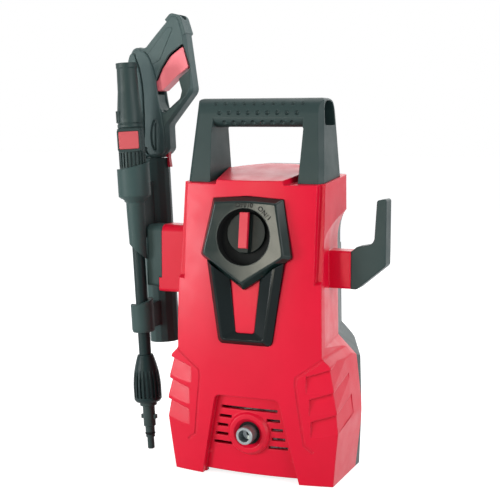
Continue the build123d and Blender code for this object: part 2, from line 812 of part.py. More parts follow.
with BuildPart() as rotary_switch:
    with BuildSketch(KNOB_CENTRE.offset(-SWITCH_FRONT)):
        RectangleRounded(40, 40, 4)
    extrude(amount=-26)
    with BuildSketch(KNOB_CENTRE.offset(-SWITCH_FRONT)):
        Circle(SWITCH_NECK_R)
    extrude(amount=SWITCH_FRONT - PANEL_SEAT_DROP)
    with BuildSketch(KNOB_CENTRE.offset(-WELL_DEPTH + KNOB_GAP - SPINDLE_L - 0.5)):
        Circle(SPINDLE_R + RUN)
    extrude(amount=SPINDLE_L + 20, mode=Mode.SUBTRACT)
    with BuildSketch(KNOB_CENTRE.offset(-SWITCH_FRONT - 26)):
        with GridLocations(16, 12, 2, 2):
            Rectangle(6, 0.8)
    extrude(amount=-8)
save(rotary_switch, "rotary_switch")

# J-shaped hook for the wound hose
with BuildPart() as hose_hook:
    with BuildSketch(Plane.XZ.offset(35)):
        with BuildLine():
            FilletPolyline(
                (STUB_END_X, STUB_LOW_Z), (117, STUB_LOW_Z), (150.5, 253), (150.5, 328.5), (139.5, 326),
                (136.6, 277), (117, 273.5), (STUB_END_X, 267.5),
                radius=[1, 5, 6, 3, 3, 9, 4, 1], close=True,
            )
        make_face()
    extrude(amount=20)
    chamfer(hose_hook.faces().sort_by(Axis.Y)[0].edges(), 0.8)
save(hose_hook, "hose_hook")

# Spray equipment leaning in its holder at the left side
UP = (-sin(radians(LEAN)), 0.0, cos(radians(LEAN)))
OUT = (cos(radians(LEAN)), 0.0, sin(radians(LEAN)))


def along(foot, s):
    return (foot[0] + UP[0] * s, foot[1], foot[2] + UP[2] * s)


def across(foot, s):
    return Plane(along(foot, s), x_dir=OUT, z_dir=UP)


def mouth(s):
    """A plane across the lance whose first direction points out of the side mouths."""
    turn = radians(MOUTH_ANGLE)
    out = Vector(*OUT) * cos(turn) + Vector(0, sin(turn), 0)
    return Plane(along(LANCE_FOOT, s), x_dir=out, z_dir=UP)


def turned(foot, points):
    """A turned piece about the leaning axis, from radius and station pairs."""
    with BuildPart() as piece:
        with BuildSketch(Plane(foot, x_dir=OUT, z_dir=(0, -1, 0))):
            with BuildLine():
                Polyline(*points, close=True)
            make_face()
        revolve(axis=Axis(foot, UP))
    return piece.part


# Holder: open cup and sleeves for the lance, faceted tube for the gun, clip on the housing bracket

upper_sleeve = turned(
    LANCE_FOOT,
    [(0, 225), (9.8, 225), (SLEEVE_R, 296), (SLEEVE_R, 306), (CUP_R, 314), (CUP_R, 370), (0, 370)],
)
lower_sleeve = turned(
    LANCE_FOOT,
    [(0, 147), (LOWER_SLEEVE_R - 1, 147), (LOWER_SLEEVE_R, 150), (LOWER_SLEEVE_R, 205), (0, 205)],
)
lance_room = turned(
    LANCE_FOOT,
    [
        (0, 100),
        (TUBE_R + LANCE_PLAY, 100),
        (TUBE_R + LANCE_PLAY, 308),
        (HEAD_R + LANCE_PLAY, 318),
        (HEAD_R + LANCE_PLAY, 400),
        (0, 400),
    ],
)

with BuildPart() as sleeve_upper:
    add(upper_sleeve)
    rim = Plane(along(LANCE_FOOT, 351), x_dir=(1, 0, 0.2), z_dir=(-0.2, -0.15, 1))
    point = Plane(along(LANCE_FOOT, 246), x_dir=(1, 0, -0.8), z_dir=(0.8, 0.35, 1))
    split(bisect_by=rim, keep=Keep.BOTTOM)
    split(bisect_by=point, keep=Keep.TOP)

with BuildPart() as sleeve_lower:
    add(lower_sleeve)
    rim = Plane(along(LANCE_FOOT, 184), x_dir=(1, 0, 0.25), z_dir=(-0.25, -0.2, 1))
    split(bisect_by=rim, keep=Keep.BOTTOM)

with BuildPart() as accessory_holder:
    add(sleeve_upper.part)
    add(sleeve_lower.part)
    with BuildSketch(across(GUN_FOOT, 0)):
        RegularPolygon(GUN_TUBE_R - 0.8, 14, major_radius=False)
    with BuildSketch(across(GUN_FOOT, GUN_TUBE_L)):
        RegularPolygon(GUN_TUBE_R + 0.4, 14, major_radius=False)
    loft(ruled=True)
    # webs between the lance sleeves and the gun tube
    for low, high in ((262, 330), (150, 180)):
        with BuildSketch(across(LANCE_FOOT, low)):
            with BuildLine():
                Polyline((0, 0), (8, 0), (8, 52), (-6, 52), close=True)
            make_face()
        extrude(amount=high - low)
    # clip plate against the bracket
    with BuildSketch(Plane.YZ.offset(BOSS_END_X)):
        with BuildLine():
            FilletPolyline(
                (CLIP_FRONT_Y, CLIP_LOW_Z), (CLIP_FRONT_Y, CLIP_HIGH_Z), (CLIP_BACK_Y, CLIP_HIGH_Z),
                (CLIP_BACK_Y, CLIP_LOW_Z), radius=[2, 8, 8, 2], close=True,
            )
        make_face()
    extrude(amount=-CLIP_T)
    with BuildSketch(Plane.YZ.offset(LEDGE_END_X)):
        with BuildLine():
            FilletPolyline(
                (CLIP_FRONT_Y, CLIP_TOE_Z), (CLIP_FRONT_Y, CLIP_LOW_Z + 2), (CLIP_BACK_Y, CLIP_LOW_Z + 2),
                (CLIP_BACK_Y, CLIP_TOE_Z), radius=[4, 0, 0, 4], close=True,
            )
        make_face()
    extrude(amount=BOSS_END_X - LEDGE_END_X - CLIP_T)
    add(lance_room, mode=Mode.SUBTRACT)
    with BuildSketch(across(GUN_FOOT, -5)):
        Circle(GUN_TUBE_BORE_R)
    extrude(amount=GUN_TUBE_L + 10, mode=Mode.SUBTRACT)
    # side mouths where the lance is laid in
    with BuildSketch(mouth(100)):
        with Locations((25, 0)):
            Rectangle(50, 2 * (TUBE_R + LANCE_PLAY))
    extrude(amount=209, mode=Mode.SUBTRACT)
    with BuildSketch(mouth(308)):
        with Locations((25, 0)):
            Rectangle(50, 2 * (HEAD_R + LANCE_PLAY))
    extrude(amount=60, mode=Mode.SUBTRACT)
save(accessory_holder, "accessory_holder")

# Lance: bayonet plug, ribbed nut, tube and adjustable nozzle

with BuildPart() as lance_plug:
    add(
        turned(
            LANCE_FOOT,
            [
                (0, 0), (3.8, 0), (4.3, 1), (4.3, 14), (5.6, 15), (5.6, 18), (4.2, 18), (4.2, 21), (5.8, 21),
                (5.8, 28), (7.5, 29), (7.5, 54), (10.5, 55), (10.5, 60), (0, 60),
            ],
        )
    )
    with BuildSketch(across(LANCE_FOOT, 38)):
        Rectangle(20, 5)
    extrude(amount=5)
    with BuildSketch(across(LANCE_FOOT, -1)):
        Circle(2.4)
    extrude(amount=62, mode=Mode.SUBTRACT)
save(lance_plug, "lance_plug")

with BuildPart() as plug_ring:
    with BuildSketch(Plane(LANCE_FOOT, x_dir=OUT, z_dir=(0, -1, 0))):
        with Locations((5.3, 19.5)):
            Circle(1.1)
    revolve(axis=Axis(LANCE_FOOT, UP))
save(plug_ring, "plug_ring")

with BuildPart() as lance_tube:
    with BuildSketch(across(LANCE_FOOT, 60)):
        Circle(TUBE_R)
        Circle(4.0, mode=Mode.SUBTRACT)
    extrude(amount=272)
save(lance_tube, "lance_tube")

with BuildPart() as lance_nut:
    with BuildSketch(Plane(LANCE_FOOT, x_dir=OUT, z_dir=(0, -1, 0))):
        with BuildLine():
            Polyline((9.5, 118), (TUBE_R, 118), (TUBE_R, 60), (15.0, 60), (17.0, 63), (17.0, 70))
            ThreePointArc((17.0, 70), (15.6, 94), (9.5, 118))
        make_face()
    revolve(axis=Axis(LANCE_FOOT, UP))
    with BuildSketch(across(LANCE_FOOT, 66)):
        with PolarLocations(17.2, NUT_RIBS):
            Rectangle(5.6, 2.6)
    extrude(amount=46, mode=Mode.SUBTRACT)
save(lance_nut, "lance_nut")

BUTTON = Plane(
    along(LANCE_FOOT, BUTTON_STATION),
    x_dir=Vector(*OUT) * cos(radians(BUTTON_ANGLE)) + Vector(0, sin(radians(BUTTON_ANGLE)), 0),
    z_dir=Vector(*OUT) * sin(radians(BUTTON_ANGLE)) + Vector(0, -cos(radians(BUTTON_ANGLE)), 0),
)
with BuildPart() as nozzle_head:
    add(
        turned(
            LANCE_FOOT,
            [
                (0, HEAD_LOW), (HEAD_R - 3.5, HEAD_LOW), (HEAD_R - 0.4, HEAD_LOW + 4), (HEAD_R, 352),
                (HEAD_R, HEAD_HIGH), (0, HEAD_HIGH),
            ],
        )
    )
    with BuildSketch(across(LANCE_FOOT, 349)):
        with PolarLocations(HEAD_R, HEAD_GROOVES):
            Rectangle(3.6, 2.2)
    extrude(amount=18, mode=Mode.SUBTRACT)
    with BuildSketch(BUTTON):
        RectangleRounded(28, 27, 3)
    extrude(amount=PAD_FACE)
    with BuildSketch(BUTTON.offset(BUTTON_FACE - 4 - BUTTON_TRAVEL - 0.5)):
        RectangleRounded(BUTTON_W + 0.6, BUTTON_H + 0.6, 1.8)
    extrude(amount=20, mode=Mode.SUBTRACT)
    with BuildSketch(across(LANCE_FOOT, HEAD_LOW - 1)):
        Circle(TUBE_R)
    extrude(amount=332 - HEAD_LOW + 1, mode=Mode.SUBTRACT)
    with BuildSketch(across(LANCE_FOOT, 331)):
        Circle(4.0)
    extrude(amount=70, mode=Mode.SUBTRACT)
save(nozzle_head, "nozzle_head")

with BuildPart() as nozzle_button:
    with BuildSketch(BUTTON.offset(BUTTON_FACE - 4)):
        RectangleRounded(BUTTON_W, BUTTON_H, 1.5)
    extrude(amount=4)
    chamfer(nozzle_button.faces().sort_by(Axis.Y)[0].edges(), 0.5)
save(nozzle_button, "nozzle_button")

with BuildPart() as nozzle_tip:
    add(
        turned(
            LANCE_FOOT,
            [
                (1.2, 376), (4.0, 376), (4.0, HEAD_HIGH), (STEM_R, HEAD_HIGH), (STEM_R, 452),
                (4.5, 456), (1.2, 456),
            ],
        )
    )
save(nozzle_tip, "nozzle_tip")

with BuildPart() as vario_nozzle:
    add(
        turned(
            LANCE_FOOT,
            [
                (STEM_R + RUN, HEAD_HIGH + 0.3), (15.0, HEAD_HIGH + 0.3), (15.6, 397.5), (15.6, 400.5),
                (14.8, 401), (14.8, 402), (15.6, 402.5), (15.6, 408), (12.7, 440), (12.2, 467), (12.9, 468.5),
                (12.9, TIP_STATION), (10.6, TIP_STATION), (9.0, 458), (STEM_R + RUN, 457.5),
            ],
        )
    )
    with BuildSketch(across(LANCE_FOOT, 403)):
        with PolarLocations(15.4, 3, start_angle=200, angular_range=60):
            Rectangle(2.4, 3.2)
    extrude(amount=14)
save(vario_nozzle, "vario_nozzle")

# Spray gun: two shells, grip inlays, trigger, latch, valve and barrel
GUN_RISE = GUN_TUBE_L - GUN_DRAWN_L
GUN_SEAT = along(GUN_FOOT, GUN_RISE)
GUN_PLANE = Plane((UP[0] * GUN_RISE, GUN_Y, UP[2] * GUN_RISE), x_dir=(1, 0, 0), z_dir=(0, -1, 0))
gun_outline = [
    (-182, 367.2), (-198, 488), (-187, 509), (-176, 500.5), (-159, 519), (-143.5, 535), (-136.5, 544.5),
    (-124.5, 541.8), (-117.5, 519), (-107.2, 450), (-141, 409), (-139.5, 379), (-150, 369.2),
]
gun_rounds = [6, 14, 9, 8, 25, 6, 6, 9, 10, 12, 8, 8, 6]
grip_cap = [(-144.5, 537), (-136.5, 545), (-124, 542), (-116.8, 520.5), (-119.5, 517.5), (-141.5, 534)]
rim_room = [
    (-119.5, 508), (-112, 480), (-111, 455), (-115, 446), (-147, 421.5),
    (-154.5, 438), (-156.5, 463), (-150, 479), (-138, 496),
]
rim_rounds = [2, 10, 6, 6, 5, 12, 6, 20, 20]
finger_hole = [
    (-134, 490), (-130.5, 470), (-124.9, 451), (-127.5, 441.5), (-148.8, 424),
    (-154.5, 438), (-157.5, 463), (-150, 479),
]
finger_rounds = [2, 4, 5, 5, 5, 8, 6, 12]
trigger_outline = [
    (-121, 504.5), (-114.6, 481), (-115.5, 478.5), (-129, 469.5), (-150, 451),
    (-163.5, 450.5), (-165.5, 457.5), (-155.5, 464), (-149, 477.5), (-137.5, 493.5),
]
trigger_rounds = [1.5, 1.0, 1.0, 6, 3, 3, 3, 3, 20, 20]
squeeze_room = [
    (-113.3, 480.5), (-120, 506.5), (-131.5, 514.5), (-140, 513), (-153, 494), (-160.5, 474),
    (-168.5, 464), (-168.5, 448), (-150, 446), (-128.5, 466), (-114.5, 476.5),
]
inlay_outline = [(-167, 496), (-141, 527), (-132, 529), (-151, 489), (-162, 483)]
INLET_PLANE = Plane(
    (-130.1 + UP[0] * GUN_RISE, GUN_Y, 539.7 + UP[2] * GUN_RISE), x_dir=(0.84, 0, -0.54), z_dir=(0.54, 0, 0.84)
)


def gun_half(side):
    """One half of the gun body; side -1 is the half toward the front of the machine."""
    with BuildPart() as half:
        with BuildSketch(GUN_PLANE):
            with BuildLine():
                FilletPolyline(*gun_outline, radius=gun_rounds, close=True)
            make_face()
        extrude(amount=-side * (GUN_HALF - GUN_EDGE))
        with BuildSketch(GUN_PLANE.offset(-side * (GUN_HALF - GUN_EDGE))):
            with BuildLine():
                FilletPolyline(*gun_outline, radius=gun_rounds, close=True)
            make_face()
        extrude(amount=-side * GUN_EDGE, taper=38)
        with BuildSketch(GUN_PLANE):
            with BuildLine():
                FilletPolyline(*grip_cap, radius=[1, 6, 8, 1, 1, 1], close=True)
            make_face()
        extrude(amount=-side * (GUN_HALF - 1))
        with BuildSketch(GUN_PLANE):
            with BuildLine():
                FilletPolyline(*finger_hole, radius=finger_rounds, close=True)
            make_face()
        extrude(amount=-side * 2 * GUN_HALF, mode=Mode.SUBTRACT)
        # the guard stands proud around the trigger, and the barrel side carries a groove
        with BuildSketch(GUN_PLANE.offset(-side * GUARD_HALF)):
            with BuildLine():
                FilletPolyline(*rim_room, radius=rim_rounds, close=True)
            make_face()
        extrude(amount=-side * 2 * GUN_HALF, mode=Mode.SUBTRACT)
        with BuildSketch(GUN_PLANE.offset(-side * (GUN_HALF - INLAY_T))):
            with Locations((-157, 394)):
                SlotOverall(36, 4.2, rotation=90)
        extrude(amount=-side * 10, mode=Mode.SUBTRACT)
        with BuildSketch(GUN_PLANE):
            with BuildLine():
                Polyline(*squeeze_room, close=True)
            make_face()
        extrude(amount=-side * (TRIGGER_HALF + 0.4), mode=Mode.SUBTRACT)
        with BuildSketch(GUN_PLANE):
            with Locations(TRIGGER_PIVOT):
                Circle(PIN_R)
        extrude(amount=-side * (GUN_HALF - 1.5), mode=Mode.SUBTRACT)
        valve_room = turned(GUN_SEAT, [(0, 220), (10, 220), (10, 246), (8, 246), (8, 296), (0, 296)])
        add(valve_room, mode=Mode.SUBTRACT)
        with BuildSketch(GUN_PLANE):
            with Locations((-146, 374)):
                Rectangle(6.6, 16)
        extrude(amount=-side * (LATCH_HALF + 0.3), mode=Mode.SUBTRACT)
        with BuildSketch(INLET_PLANE.offset(-18)):
            Circle(8.0)
        extrude(amount=40, mode=Mode.SUBTRACT)
        with BuildSketch(GUN_PLANE.offset(-side * (GUN_HALF - INLAY_T))):
            with BuildLine():
                FilletPolyline(*inlay_outline, radius=2.5, close=True)
            make_face()
        extrude(amount=-side * 10, mode=Mode.SUBTRACT)
    return half.part


with BuildPart() as gun_shell_front:
    add(gun_half(-1))
save(gun_shell_front, "gun_shell_front")

with BuildPart() as gun_shell_rear:
    add(gun_half(1))
save(gun_shell_rear, "gun_shell_rear")

with BuildPart() as grip_inlays:
    for side in (-1, 1):
        with BuildSketch(GUN_PLANE.offset(-side * (GUN_HALF - INLAY_T))):
            with BuildLine():
                FilletPolyline(*inlay_outline, radius=2.5, close=True)
            make_face()
        extrude(amount=-side * (INLAY_T + 0.4))
save(grip_inlays, "grip_inlays")

with BuildPart() as gun_trigger:
    with BuildSketch(GUN_PLANE.offset(-TRIGGER_HALF)):
        with BuildLine():
            FilletPolyline(*trigger_outline, radius=trigger_rounds, close=True)
        make_face()
        with Locations(TRIGGER_PIVOT):
            Circle(PIN_R + RUN, mode=Mode.SUBTRACT)
    extrude(amount=2 * TRIGGER_HALF)
save(gun_trigger, "gun_trigger")

with BuildPart() as trigger_pin:
    with BuildSketch(GUN_PLANE.offset(-GUN_HALF + 1.5)):
        with Locations(TRIGGER_PIVOT):
            Circle(PIN_R)
    extrude(amount=2 * GUN_HALF - 3)
save(trigger_pin, "trigger_pin")

with BuildPart() as gun_latch:
    with BuildSketch(GUN_PLANE.offset(-LATCH_HALF)):
        with BuildLine():
            FilletPolyline(
                (-149, 378), (-144, 378), (-144.5, 369), (-142.5, 357), (-146, 357.5), (-146.3, 369),
                (-149, 370),
                radius=0.5, close=True,
            )
        make_face()
    extrude(amount=2 * LATCH_HALF)
save(gun_latch, "gun_latch")

with BuildPart() as gun_valve:
    add(turned(GUN_SEAT, [(3, 246), (8, 246), (8, 296), (3, 296)]))
save(gun_valve, "gun_valve")

with BuildPart() as gun_barrel:
    add(
        turned(
            GUN_SEAT,
            [
                (8, 150), (BARREL_R, 150), (BARREL_R, 231.4), (10, 231.4), (10, 246), (3, 246), (3, 200),
                (8, 200),
            ],
        )
    )
save(gun_barrel, "gun_barrel")

with BuildPart() as gun_inlet:
    with BuildSketch(INLET_PLANE.offset(-18)):
        Circle(8.0)
        Circle(5.5, mode=Mode.SUBTRACT)
    extrude(amount=17)
save(gun_inlet, "gun_inlet")

# Motor and pump standing on the base, one vertical axis


def drive_ring(z, height, r_out, r_in):
    """A ring about the drive axis."""
    with BuildPart() as ring:
        with BuildSketch(Plane((0, DRIVE_Y, z))):
            Circle(r_out)
            if r_in:
                Circle(r_in, mode=Mode.SUBTRACT)
        extrude(amount=height)
    return ring.part


def along_y(points, z):
    """A turned piece about a fore-and-aft axis, from radius and Y pairs."""
    with BuildPart() as piece:
        with BuildSketch(Plane((0, 0, z))):
            with BuildLine():
                Polyline(*points, close=True)
            make_face()
        revolve(axis=Axis((0, 0, z), (0, 1, 0)))
    return piece.part


def coil(origin, direction, radius, wire, pitch, height):
    """A coil spring standing on a point."""
    with BuildPart() as spring:
        with BuildLine() as path:
            Helix(pitch=pitch, height=height, radius=radius, center=origin, direction=direction)
        turn = path.edges()[0]
        with BuildSketch(Plane(turn @ 0, z_dir=turn % 0)):
            RegularPolygon(wire, 6)
        sweep(path=turn)
    return spring.part


with BuildPart() as pump_head:
    with BuildSketch(Plane((0, DRIVE_Y, BASE_T))):
        RectangleRounded(2 * HEAD_HALF_X, 2 * HEAD_HALF_Y, 6)
    extrude(amount=HEAD_TOP - BASE_T)
    with BuildSketch(Plane((0, DRIVE_Y, 24))):
        with PolarLocations(PISTON_CIRCLE_R, 3, start_angle=90):
            Circle(PISTON_R + RUN)
    extrude(amount=HEAD_TOP, mode=Mode.SUBTRACT)
    with BuildSketch(Plane((0, DRIVE_Y, HEAD_TOP - 5))):
        with PolarLocations(PISTON_CIRCLE_R, 3, start_angle=90):
            Circle(SEAL_R)
    extrude(amount=10, mode=Mode.SUBTRACT)
    # outlet channel to the front and inlet channel to the rear
    with BuildSketch(Plane.XZ.offset(10)):
        with Locations((0, OUTLET_Z - 6)):
            Circle(3)
    extrude(amount=40, mode=Mode.SUBTRACT)
save(pump_head, "pump_head")

with BuildPart() as pump_housing:
    with BuildSketch(Plane((0, DRIVE_Y, HEAD_TOP))):
        RectangleRounded(2 * CRANK_HALF, 2 * CRANK_HALF, 8)
        Circle(CRANK_BORE_R, mode=Mode.SUBTRACT)
        with GridLocations(2 * BOLT_AT, 2 * BOLT_AT, 2, 2):
            Circle(BOLT_R, mode=Mode.SUBTRACT)
    extrude(amount=CRANK_TOP - HEAD_TOP)
save(pump_housing, "pump_housing")

with BuildPart() as motor_flange:
    with BuildSketch(Plane((0, DRIVE_Y, CRANK_TOP))):
        RectangleRounded(2 * CRANK_HALF, 2 * CRANK_HALF, 8)
        Circle(LOW_BEARING_R, mode=Mode.SUBTRACT)
        with GridLocations(2 * BOLT_AT, 2 * BOLT_AT, 2, 2):
            Circle(BOLT_R, mode=Mode.SUBTRACT)
    extrude(amount=FLANGE_TOP - CRANK_TOP)
save(motor_flange, "motor_flange")

with BuildPart() as pump_bolts:
    with BuildSketch(Plane((0, DRIVE_Y, HEAD_TOP))):
        with GridLocations(2 * BOLT_AT, 2 * BOLT_AT, 2, 2):
            Circle(BOLT_R)
    extrude(amount=FLANGE_TOP - HEAD_TOP)
    with BuildSketch(Plane((0, DRIVE_Y, FLANGE_TOP))):
        with GridLocations(2 * BOLT_AT, 2 * BOLT_AT, 2, 2):
            RegularPolygon(5, 6)
    extrude(amount=4)
save(pump_bolts, "pump_bolts")

with BuildPart() as pistons:
    for height, radius, low in ((PISTON_TOP - 4 - 36, PISTON_R, 36), (4, SEAL_R, PISTON_TOP - 4)):
        with BuildSketch(Plane((0, DRIVE_Y, low))):
            with PolarLocations(PISTON_CIRCLE_R, 3, start_angle=90):
                Circle(radius)
        extrude(amount=height)
save(pistons, "pistons")

with BuildPart() as piston_seals:
    with BuildSketch(Plane((0, DRIVE_Y, HEAD_TOP - 5))):
        with PolarLocations(PISTON_CIRCLE_R, 3, start_angle=90):
            Circle(SEAL_R)
            Circle(PISTON_R, mode=Mode.SUBTRACT)
    extrude(amount=5)
save(piston_seals, "piston_seals")

with BuildPart() as piston_springs:
    for k in range(3):
        angle = radians(90 + 120 * k)
        at = (PISTON_CIRCLE_R * cos(angle), DRIVE_Y + PISTON_CIRCLE_R * sin(angle), HEAD_TOP + 0.9)
        add(coil(at, (0, 0, 1), 8.3, 0.9, 4.0, 16.2))
save(piston_springs, "piston_springs")

SWASH_LEAN = (sin(radians(SWASH_TILT)), 0, cos(radians(SWASH_TILT)))
with BuildPart() as swash_plate:
    add(drive_ring(SWASH_Z - 10, CRANK_TOP - 2 - SWASH_Z + 10, SWASH_R, SHAFT_R))
    split(bisect_by=Plane((0, DRIVE_Y, SWASH_Z), z_dir=SWASH_LEAN), keep=Keep.TOP)
save(swash_plate, "swash_plate")

with BuildPart() as thrust_bearing:
    add(drive_ring(SWASH_Z - 16, 32, SWASH_R, 13))
    split(bisect_by=Plane((0, DRIVE_Y, SWASH_Z), z_dir=SWASH_LEAN), keep=Keep.BOTTOM)
    split(bisect_by=Plane((0, DRIVE_Y, SWASH_Z - THRUST_T), z_dir=SWASH_LEAN), keep=Keep.TOP)
save(thrust_bearing, "thrust_bearing")

with BuildPart() as motor_rotor:
    add(drive_ring(SWASH_Z + 2, SHAFT_TOP - SWASH_Z - 2, SHAFT_R, 0))
    add(drive_ring(140, 62, 28.5, 0))
    with BuildSketch(Plane((0, DRIVE_Y, 140))):
        with PolarLocations(26, 12):
            Rectangle(8, 3)
    extrude(amount=62, mode=Mode.SUBTRACT)
save(motor_rotor, "motor_rotor")

with BuildPart() as commutator:
    add(drive_ring(212, 20, 14, SHAFT_R))
save(commutator, "commutator")

with BuildPart() as carbon_brushes:
    with BuildSketch(Plane((0, DRIVE_Y, 218))):
        for side in (-1, 1):
            with Locations((side * (14.1 + 42.8) / 2, 0)):
                Rectangle(42.8 - 14.1, 8)
    extrude(amount=8)
save(carbon_brushes, "carbon_brushes")

with BuildPart() as motor_stator:
    add(drive_ring(136, 70, CAN_INNER_R, 29.5))
    with BuildSketch(Plane((0, DRIVE_Y, 136))):
        with PolarLocations(32, 2, start_angle=90):
            Rectangle(14, 22)
    extrude(amount=70, mode=Mode.SUBTRACT)
save(motor_stator, "motor_stator")

with BuildPart() as motor_can:
    add(drive_ring(FLANGE_TOP, CAN_TOP - FLANGE_TOP, CAN_R, CAN_INNER_R))
save(motor_can, "motor_can")

with BuildPart() as motor_end_cap:
    add(drive_ring(CAN_TOP, CAP_TOP - CAN_TOP, CAN_R, TOP_BEARING_R))
save(motor_end_cap, "motor_end_cap")

with BuildPart() as motor_bearings:
    add(drive_ring(CRANK_TOP + 1, FLANGE_TOP - CRANK_TOP - 1, LOW_BEARING_R, SHAFT_R + RUN))
    add(drive_ring(CAN_TOP, CAP_TOP - CAN_TOP, TOP_BEARING_R, SHAFT_R + RUN))
save(motor_bearings, "motor_bearings")

with BuildPart() as cooling_fan:
    add(drive_ring(262, 18, 11, SHAFT_R))
    add(drive_ring(262, 2, 40, SHAFT_R))
    with BuildSketch(Plane((0, DRIVE_Y, 264))):
        with PolarLocations(25, 9):
            with Locations(Location((0, 0, 0), (0, 0, 25))):
                Rectangle(27, 2)
    extrude(amount=13)
save(cooling_fan, "cooling_fan")

# Water path
with BuildPart() as outlet_nipple:
    add(
        along_y(
            [
                (3, DRIVE_Y - HEAD_HALF_Y), (6.2, DRIVE_Y - HEAD_HALF_Y), (6.2, -78), (NIPPLE_R, -78),
                (NIPPLE_R, NIPPLE_TIP_Y + 0.8), (NIPPLE_R - 0.8, NIPPLE_TIP_Y), (NIPPLE_BORE_R, NIPPLE_TIP_Y),
                (NIPPLE_BORE_R, NIPPLE_TIP_Y + NIPPLE_BORE_L), (3, NIPPLE_TIP_Y + NIPPLE_BORE_L + 1),
            ],
            OUTLET_Z,
        )
    )
save(outlet_nipple, "outlet_nipple")

with BuildPart() as outlet_seal:
    add(
        along_y(
            [
                (NIPPLE_R, recess_y), (OUTLET_HOLE_R, recess_y), (OUTLET_HOLE_R, recess_y + 4),
                (NIPPLE_R, recess_y + 4),
            ],
            OUTLET_Z,
        )
    )
save(outlet_seal, "outlet_seal")

INLET_TIP_Y = REAR_Y + 20
with BuildPart() as water_inlet:
    add(
        along_y(
            [
                (4, DRIVE_Y + HEAD_HALF_Y), (7, DRIVE_Y + HEAD_HALF_Y), (7, REAR_Y - 8),
                (INLET_HOLE_R - 0.3, REAR_Y - 6), (INLET_HOLE_R - 0.3, REAR_Y + 3), (13.2, REAR_Y + 3),
                (13.2, INLET_TIP_Y), (9, INLET_TIP_Y), (9, REAR_Y - 4), (4, REAR_Y - 5),
            ],
            INLET_Z,
        )
    )
save(water_inlet, "water_inlet")

with BuildPart() as inlet_filter:
    add(along_y([(9, REAR_Y - 4), (7.4, REAR_Y - 4), (7.4, INLET_TIP_Y - 6), (9, INLET_TIP_Y - 6)], INLET_Z))
save(inlet_filter, "inlet_filter")

# Electrical pieces
with BuildPart() as pressure_switch:
    with BuildSketch(Plane((-HEAD_HALF_X - 11, DRIVE_Y, 38))):
        Rectangle(22, 20)
    extrude(amount=18)
save(pressure_switch, "pressure_switch")

with BuildPart() as capacitor:
    with BuildSketch(Plane((32, -50, BASE_T))):
        Circle(10)
    extrude(amount=42)
save(capacitor, "capacitor")

with BuildPart() as cable_gland:
    with BuildSketch(Plane((GLAND_X, REAR_Y, GLAND_Z), x_dir=(1, 0, 0), z_dir=(0, 1, 0))):
        Circle(GLAND_R + 3)
        Circle(5, mode=Mode.SUBTRACT)
    extrude(amount=7, taper=8)
    with BuildSketch(Plane((GLAND_X, REAR_Y, GLAND_Z), x_dir=(1, 0, 0), z_dir=(0, 1, 0))):
        Circle(GLAND_R)
        Circle(5, mode=Mode.SUBTRACT)
    extrude(amount=-10)
save(cable_gland, "cable_gland")

# Small springs of the lance button and the trigger
with BuildPart() as button_spring:
    seat = BUTTON.offset(BUTTON_FACE - 4 - BUTTON_TRAVEL - 0.5 + 0.35)
    add(coil(seat.origin, seat.z_dir, 4.0, 0.35, 1.0, 2.0))
save(button_spring, "button_spring")
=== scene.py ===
"""Looks for a compact upright pressure washer with its spray gun and lance stored at the side."""
import json
from math import cos, pi, radians, sin

import bpy
from mathutils import Matrix, Vector


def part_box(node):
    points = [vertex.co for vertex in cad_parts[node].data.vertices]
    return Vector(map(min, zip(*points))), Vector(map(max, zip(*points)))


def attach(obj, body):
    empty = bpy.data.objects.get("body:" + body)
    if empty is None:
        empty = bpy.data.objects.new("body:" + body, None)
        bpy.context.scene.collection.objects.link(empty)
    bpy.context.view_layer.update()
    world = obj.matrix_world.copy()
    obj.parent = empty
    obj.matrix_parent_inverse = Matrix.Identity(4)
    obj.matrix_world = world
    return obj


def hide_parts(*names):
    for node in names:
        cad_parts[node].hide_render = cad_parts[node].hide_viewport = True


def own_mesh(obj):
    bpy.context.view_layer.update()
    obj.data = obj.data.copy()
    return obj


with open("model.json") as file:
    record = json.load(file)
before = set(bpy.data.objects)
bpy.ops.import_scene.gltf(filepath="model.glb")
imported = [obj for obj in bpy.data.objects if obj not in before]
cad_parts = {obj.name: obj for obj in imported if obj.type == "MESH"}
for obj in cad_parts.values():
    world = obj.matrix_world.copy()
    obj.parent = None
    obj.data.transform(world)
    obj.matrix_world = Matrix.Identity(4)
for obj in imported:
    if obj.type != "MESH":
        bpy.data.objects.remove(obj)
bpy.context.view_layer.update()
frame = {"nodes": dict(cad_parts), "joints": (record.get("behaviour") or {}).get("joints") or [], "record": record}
nodes = frame["nodes"]
joints = {joint["name"]: joint for joint in frame["joints"]}
scene = bpy.context.scene
scene.view_settings.view_transform = "Standard"

# Camera at the photograph's angle
AZIMUTH = radians(22.5)
PITCH = radians(6.57)
CAMERA_AT = (0.4754, -1.2333, 0.4112)
LENS_MM = 79.2
SENSOR_MM = 36.0
NEAREST = 0.05
FARTHEST = 100.0
camera_data = bpy.data.cameras.new("camera")
camera_data.lens = LENS_MM
camera_data.sensor_width = SENSOR_MM
camera_data.clip_start = NEAREST
camera_data.clip_end = FARTHEST
camera = bpy.data.objects.new("camera", camera_data)
camera.location = CAMERA_AT
camera.rotation_euler = (pi / 2 - PITCH, 0.0, AZIMUTH)
scene.collection.objects.link(camera)
scene.camera = camera

